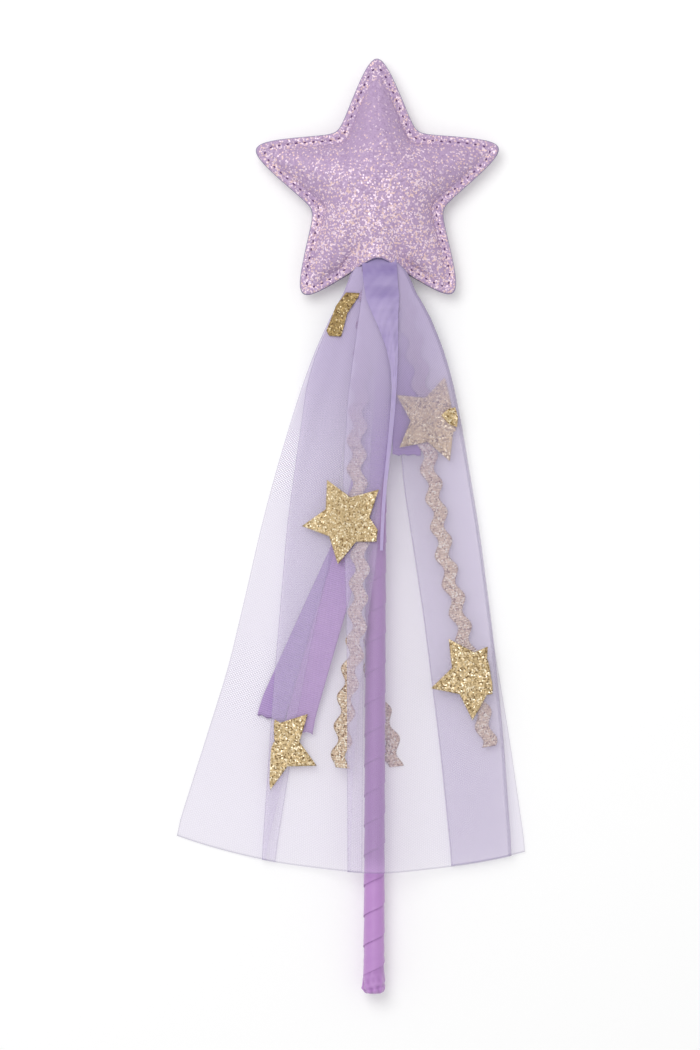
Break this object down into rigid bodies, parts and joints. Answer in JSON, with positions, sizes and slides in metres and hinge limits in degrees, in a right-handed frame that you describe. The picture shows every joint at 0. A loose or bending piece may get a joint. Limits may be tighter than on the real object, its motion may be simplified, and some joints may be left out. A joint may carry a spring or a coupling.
{
  "type": "toy magic wand",
  "caption": "Play wand: a ribbon-wrapped stick with a padded, stitched glitter star and a gathered drape of tulle, ribbon tails, wavy trim and gold stars.",
  "frame": {"origin": "centre of the flat lower end of the stick", "axes": "+Y up the stick to the star, +Z away from the table the wand lies on, +X to the right as seen from above"},
  "size_m": [0.1468, 0.3925, 0.0192],
  "materials": {
    "dowel_wood": "plain",
    "satin_ribbon": "satin",
    "glitter_fabric": "glitter",
    "stuffing": "matte",
    "stitch_thread": "matte",
    "tulle_bunch": "matte",
    "tulle": "sheer net",
    "grosgrain": "ribbed",
    "gold_trim": "metallic thread",
    "gold_glitter": "glitter"
  },
  "bodies": {
    "wand": {"stick_core": "dowel_wood", "ribbon_wrap": "satin_ribbon", "wrap_end_cap": "satin_ribbon", "star_front_panel": "glitter_fabric", "star_back_panel": "glitter_fabric", "star_stuffing": "stuffing", "star_front_stitches": "stitch_thread", "star_back_stitches": "stitch_thread", "gather_bundle": "tulle_bunch", "gather_binding": "stitch_thread"},
    "right_drape": {"tulle_right": "tulle", "tulle_strand": "tulle", "ribbon_tail_short": "grosgrain", "ricrac_right": "gold_trim", "glitter_star_2": "gold_glitter", "glitter_star_3": "gold_glitter", "glitter_star_4": "gold_glitter"},
    "left_trim": {"ricrac_left": "gold_trim"},
    "left_over_drape": {"tulle_left_over": "tulle", "glitter_star_1": "gold_glitter", "glitter_star_5": "gold_glitter"},
    "left_under_drape": {"tulle_left_under": "tulle", "ribbon_tail_a": "grosgrain", "ribbon_tail_b": "grosgrain"},
    "back_trim": {"ricrac_back": "gold_trim"}
  },
  "joints": [
    {"name": "right_drape_lift", "type": "hinge", "parent": "wand", "child": "right_drape", "pos_m": [0, 0.3011, 0.0097], "axis": [-1, 0, 0], "range_deg": [0, 85]},
    {"name": "left_trim_lift", "type": "hinge", "parent": "wand", "child": "left_trim", "pos_m": [0, 0.3011, 0.0092], "axis": [-1, 0, 0], "range_deg": [0, 68]},
    {"name": "left_over_lift", "type": "hinge", "parent": "wand", "child": "left_over_drape", "pos_m": [0, 0.3011, 0.0086], "axis": [-1, 0, 0], "range_deg": [0, 51]},
    {"name": "left_under_lift", "type": "hinge", "parent": "wand", "child": "left_under_drape", "pos_m": [0, 0.3011, 0.0075], "axis": [-1, 0, 0], "range_deg": [0, 34]},
    {"name": "back_trim_swing", "type": "hinge", "parent": "wand", "child": "back_trim", "pos_m": [0, 0.3011, -0.005], "axis": [1, 0, 0], "range_deg": [0, 45]}
  ],
  "couplings": [
    {"joint": "left_trim_lift", "follows": "right_drape_lift", "ratio": 0.8},
    {"joint": "left_over_lift", "follows": "right_drape_lift", "ratio": 0.6},
    {"joint": "left_under_lift", "follows": "right_drape_lift", "ratio": 0.4}
  ]
}
